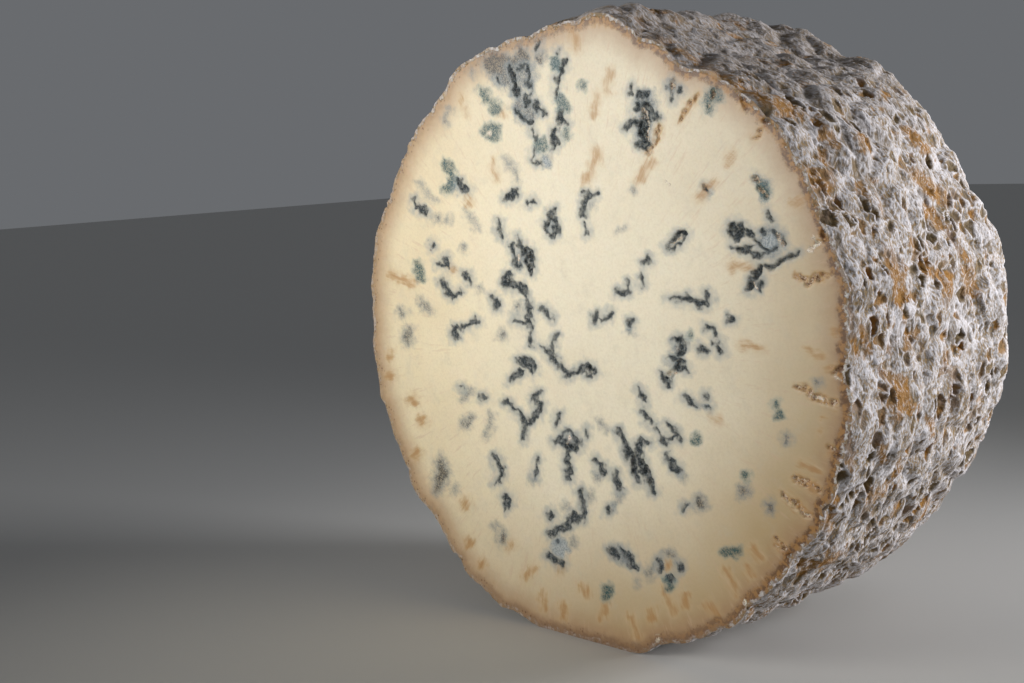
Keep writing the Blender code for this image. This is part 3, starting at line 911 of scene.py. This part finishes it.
def cut_marks(tree, place, mould, crack):
    """Ragged edges of the mould and depth of the cut's cracks, in millimetres, from the smooth distances."""
    spot = vector(tree, "MULTIPLY", place, (1000, 1000, 1000))
    ragged = grain(tree, spot, 1.5, 3.0, 0.6)
    ragged = times(tree, centred(tree, ragged), 2.0)
    mould = calc(tree, "ADD", mould, ragged)
    crack = add_part(tree, ragged, 0.8, crack)
    lumps = grain(tree, spot, 1.6, 2.0, 0.5)
    pits = times(tree, ramp(tree, crack, 0.35, -0.55), ramp(tree, lumps, 0.60, 0.40))
    sunk = add_part(tree, pits, PIT_DEPTH, ramp(tree, mould, 0.3, -0.6, 0.0, MOULD_DEPTH))
    return {"mould": mould, "pits": pits, "sunk": sunk, "spot": spot}


relief, mesh_in, mesh_out = new_relief("cracks")
here = relief.nodes.new("GeometryNodeInputPosition").outputs[0]
sunk = cut_marks(relief, here, named(relief, "mould", "FLOAT"), named(relief, "crack", "FLOAT"))["sunk"]
sunk = times(relief, sunk, ramp(relief, named(relief, "inwards", "FLOAT"), 0.2, 1.5, 0.0, 0.001))
step = add(relief, "ShaderNodeCombineXYZ", {"Y": sunk}).outputs[0]
chosen = calc(relief, "LESS_THAN", split(relief, here)[1], cut_plane + SAME_PLACE)
moving = add(relief, "GeometryNodeSetPosition", {"Geometry": mesh_in, "Selection": chosen, "Offset": step})
relief.links.new(moving.outputs[0], mesh_out)
apply_relief(paste, relief)

curd, tree, surface = new_material("paste")
place = add(tree, "ShaderNodeTexCoord").outputs["Object"]
marks = cut_marks(tree, place, kept(tree, "mould"), kept(tree, "crack"))
spot = marks["spot"]
inwards = kept(tree, "inwards")
fine = grain(tree, spot, 0.45, 2.0, 0.6)
soft = grain(tree, spot, 2.2, 3.0, 0.6)
broad = grain(tree, spot, 22.0, 2.0, 0.5)
coarse = times(tree, centred(tree, soft), 3.0)

# Cream in the middle, yellower to the left, browner towards the rind and most of all at the lower right. The
# browning there is partly the curd's own and partly painted shade, where the light falls off.
spot_x, _, spot_z = split(tree, spot)
lower_right = add_part(tree, calc(tree, "SUBTRACT", spot_x, spot_z), 0.006, 0.6)
towards_rind = ramp(tree, inwards, 66.0, 3.0)
browning_and_shade = times(tree, towards_rind, ramp(tree, lower_right, -0.25, 0.95, 0.12, 1.0))
browning_and_shade = add_part(tree, centred(tree, broad), 0.35, browning_and_shade)
colour = mix(tree, ramp(tree, spot_x, 0.0, -80.0), shade(238, 229, 205), shade(240, 226, 192))
colour = mix(tree, browning_and_shade, colour, shade(186, 160, 116))
cloud = grain(tree, spot, 7.0, 4.0, 0.65)
colour = mix(tree, ramp(tree, cloud, 0.50, 0.75, 0.0, 0.25), colour, shade(196, 190, 172))
speckle = grain(tree, spot, 0.8, 3.0, 0.7)
colour = mix(tree, ramp(tree, speckle, 0.35, 0.75, 0.0, 0.16), colour, shade(178, 156, 120))
near_rind = calc(tree, "ADD", inwards, coarse)
colour = mix(tree, ramp(tree, near_rind, 13.0, 0.5, 0.0, 0.78), colour, shade(170, 132, 96))

# Faint rays that run in towards the axis
from_axis = vector(tree, "SUBTRACT", spot, (0, 0, AXIS_HEIGHT * 1000))
from_axis = vector(tree, "MULTIPLY", from_axis, (1, 0, 1))
radius = add(tree, "ShaderNodeVectorMath", {0: from_axis}, operation="LENGTH").outputs["Value"]
around = vector(tree, "MULTIPLY", vector(tree, "NORMALIZE", from_axis), (60, 0, 60))
along_ray = add(tree, "ShaderNodeCombineXYZ", {"Y": times(tree, radius, 0.12)}).outputs[0]
around = vector(tree, "ADD", around, along_ray)
rays = grain(tree, around, 1.0, 3.0, 0.6)
ray_share = times(tree, ramp(tree, rays, 0.56, 0.72), ramp(tree, inwards, 62.0, 25.0))
colour = mix(tree, times(tree, ray_share, 0.35), colour, shade(206, 178, 150))

# The growths, from the faintest to the darkest
haze = calc(tree, "ADD", kept(tree, "haze"), coarse)
haze_share = times(tree, ramp(tree, haze, 2.2, -1.8), ramp(tree, fine, 0.66, 0.40, 0.6, 1.0))
haze_tone = mix(tree, ramp(tree, haze, 0.0, -2.0), shade(130, 136, 138), shade(66, 64, 61))
colour = mix(tree, haze_share, colour, haze_tone)
blue = add_part(tree, coarse, 0.7, kept(tree, "pale_blue"))
blue_tone = mix(tree, ramp(tree, fine, 0.38, 0.6), shade(118, 132, 140), shade(178, 186, 190))
colour = mix(tree, ramp(tree, blue, 1.0, -1.2, 0.0, 0.85), colour, blue_tone)
halo = calc(tree, "ADD", kept(tree, "mould"), times(tree, coarse, 0.8))
colour = mix(tree, ramp(tree, halo, 2.8, -0.2, 0.0, 0.6), colour, shade(140, 152, 158))
streak = kept(tree, "streak")
streak_share = ramp(tree, calc(tree, "ADD", streak, coarse), 2.6, -1.2, 0.0, 0.6)
colour = mix(tree, streak_share, colour, shade(208, 182, 142))
ray_push = times(tree, centred(tree, rays), 5.0)
core = calc(tree, "ADD", streak, calc(tree, "ADD", ray_push, times(tree, coarse, 0.3)))
colour = mix(tree, ramp(tree, core, 1.2, -1.4, 0.0, 0.75), colour, shade(176, 130, 72))
teal = add_part(tree, coarse, 0.6, calc(tree, "SUBTRACT", kept(tree, "teal"), 0.6))
teal_share = times(tree, ramp(tree, teal, 1.6, -1.0), ramp(tree, fine, 0.66, 0.36, 0.6, 1.0))
teal_tone = mix(tree, ramp(tree, teal, 1.0, -0.5), shade(104, 142, 148), shade(30, 78, 82))
colour = mix(tree, teal_share, colour, teal_tone)
dark = mix(tree, ramp(tree, fine, 0.40, 0.70), shade(30, 38, 40), shade(88, 96, 102))
paler = ramp(tree, grain(tree, spot, 1.7, 2.0, 0.5), 0.46, 0.62)
paler = times(tree, paler, ramp(tree, marks["mould"], -0.2, -1.1, 0.2, 1.0))
dark = mix(tree, times(tree, paler, 0.5), dark, shade(168, 170, 166))
dark_share = ramp(tree, marks["mould"], 0.65, -0.70)
colour = mix(tree, dark_share, colour, dark)
pit_floor = mix(tree, ramp(tree, fine, 0.4, 0.58), shade(132, 92, 56), shade(224, 204, 178))
not_mould = ramp(tree, marks["mould"], 0.0, 0.8)
colour = mix(tree, times(tree, marks["pits"], not_mould), colour, pit_floor)

# The brown line is plain on the right and faint elsewhere, and the coat's edge plain at the top and right
plain_rim = ramp(tree, add_part(tree, spot_z, 0.9, spot_x), 30.0, 130.0, 0.35, 1.0)
torn = times(tree, centred(tree, grain(tree, spot, 3.0, 5.0, 0.75)), 8.0)
band = times(tree, ramp(tree, near_rind, 5.0, 1.0), ramp(tree, lower_right, 0.0, 0.7, 0.1, 0.9))
colour = mix(tree, band, colour, shade(134, 104, 78))
line = ramp(tree, add_part(tree, torn, 0.7, inwards), 4.0, 2.4)
line_tone = mix(tree, ramp(tree, soft, 0.42, 0.58), shade(104, 68, 32), shade(168, 122, 64))
to_right = add_part(tree, spot_z, 0.4, spot_x)
line = times(tree, line, ramp(tree, to_right, 20.0, 115.0, 0.12, 0.95))
colour = mix(tree, line, colour, line_tone)
dots = cells(tree, spot, 1.3)
dot_share = ramp(tree, near_rind, 5.0, 1.5, 0.0, 0.8)
dot_share = times(tree, ramp(tree, dots["Distance"], 0.38, 0.18), dot_share)
dot_share = times(tree, dot_share, ramp(tree, split(tree, dots["Color"])[0], 0.55, 0.65))
colour = mix(tree, dot_share, colour, shade(112, 76, 44))
edge = ramp(tree, add_part(tree, torn, 0.7, inwards), 1.5, 0.9)
edge_tone = mix(tree, ramp(tree, soft, 0.42, 0.58), shade(222, 214, 210), shade(146, 124, 96))
broken = ramp(tree, grain(tree, spot, 2.0, 3.0, 0.7), 0.44, 0.56, 0.25, 1.0)
edge = times(tree, edge, broken)
colour = mix(tree, times(tree, edge, plain_rim), colour, edge_tone)
# Pale crumbs, and a painted highlight where the one glint is
crumb_and_glint = add_part(tree, coarse, 0.5, kept(tree, "crumb_and_glint"))
crumb_and_glint = add_part(tree, centred(tree, fine), 3.0, crumb_and_glint)
crumb_and_glint = ramp(tree, crumb_and_glint, 0.1, -0.4)
crumb_and_glint_tone = mix(tree, ramp(tree, fine, 0.35, 0.55), shade(170, 150, 124), shade(240, 230, 216))
colour = mix(tree, crumb_and_glint, colour, crumb_and_glint_tone)
put(tree, surface.inputs["Base Color"], colour)
put(tree, surface.inputs["Roughness"], ramp(tree, marks["mould"], 0.4, -0.2, 0.48, 0.85))
surface.inputs["Subsurface Weight"].default_value = 0.2
surface.inputs["Subsurface Radius"].default_value = (1.0, 0.6, 0.3)
surface.inputs["Subsurface Scale"].default_value = 0.003
grainy = calc(tree, "MAXIMUM", dark_share, calc(tree, "MAXIMUM", edge, marks["pits"]))
bumps = times(tree, fine, add_part(tree, grainy, 0.4, 0.03))
bump = add(tree, "ShaderNodeBump", {"Height": bumps, "Strength": 0.8, "Distance": 0.001})
put(tree, surface.inputs["Normal"], bump.outputs[0])
paste.data.materials.clear()
paste.data.materials.append(curd)


# The floor and the light
# A plain pale floor and a plain pale room, a soft light in front of the cut on the left, a weak one far to
# the right, and one behind on the right that grazes the rind.

FLOOR_SIZE = 6
bpy.ops.object.select_all(action="DESELECT")
bpy.ops.mesh.primitive_plane_add(size=FLOOR_SIZE)
floor = bpy.context.active_object
floor.name = "floor"
floor_finish, tree, surface = new_material("floor")
surface.inputs["Base Color"].default_value = shade(194, 193, 190)
surface.inputs["Roughness"].default_value = 0.9
floor.data.materials.append(floor_finish)

world = bpy.data.worlds.new("room")
world.use_nodes = True
world.node_tree.nodes["Background"].inputs["Color"].default_value = shade(214, 218, 224)
world.node_tree.nodes["Background"].inputs["Strength"].default_value = 0.21
bpy.context.scene.world = world
bpy.context.scene.view_settings.view_transform = "Standard"


def soft_light(name, place, aim, size, spread, power, colour):
    """A square light that looks from one place to another, and spreads over that many degrees."""
    bpy.ops.object.light_add(type="AREA", location=place)
    made = bpy.context.active_object
    made.name = name
    made.data.size = size
    made.data.spread = math.radians(spread)
    made.data.energy = power
    made.data.color = colour[:3]
    made.rotation_euler = (Vector(aim) - Vector(place)).to_track_quat("-Z", "Y").to_euler()


soft_light("key", (-0.20, -0.40, 0.20), (-0.015, -0.05, 0.14), 0.22, 61, 0.24, (1.0, 0.97, 0.91))
soft_light("graze", (0.50, -0.65, 0.20), (0.0, 0.0, 0.1), 0.20, 180, 0.04, (1.0, 0.98, 0.95))
soft_light("rim", (0.44, 0.37, 0.20), (0.1, 0.09, 0.14), 0.22, 68, 0.72, (0.98, 0.98, 1.0))
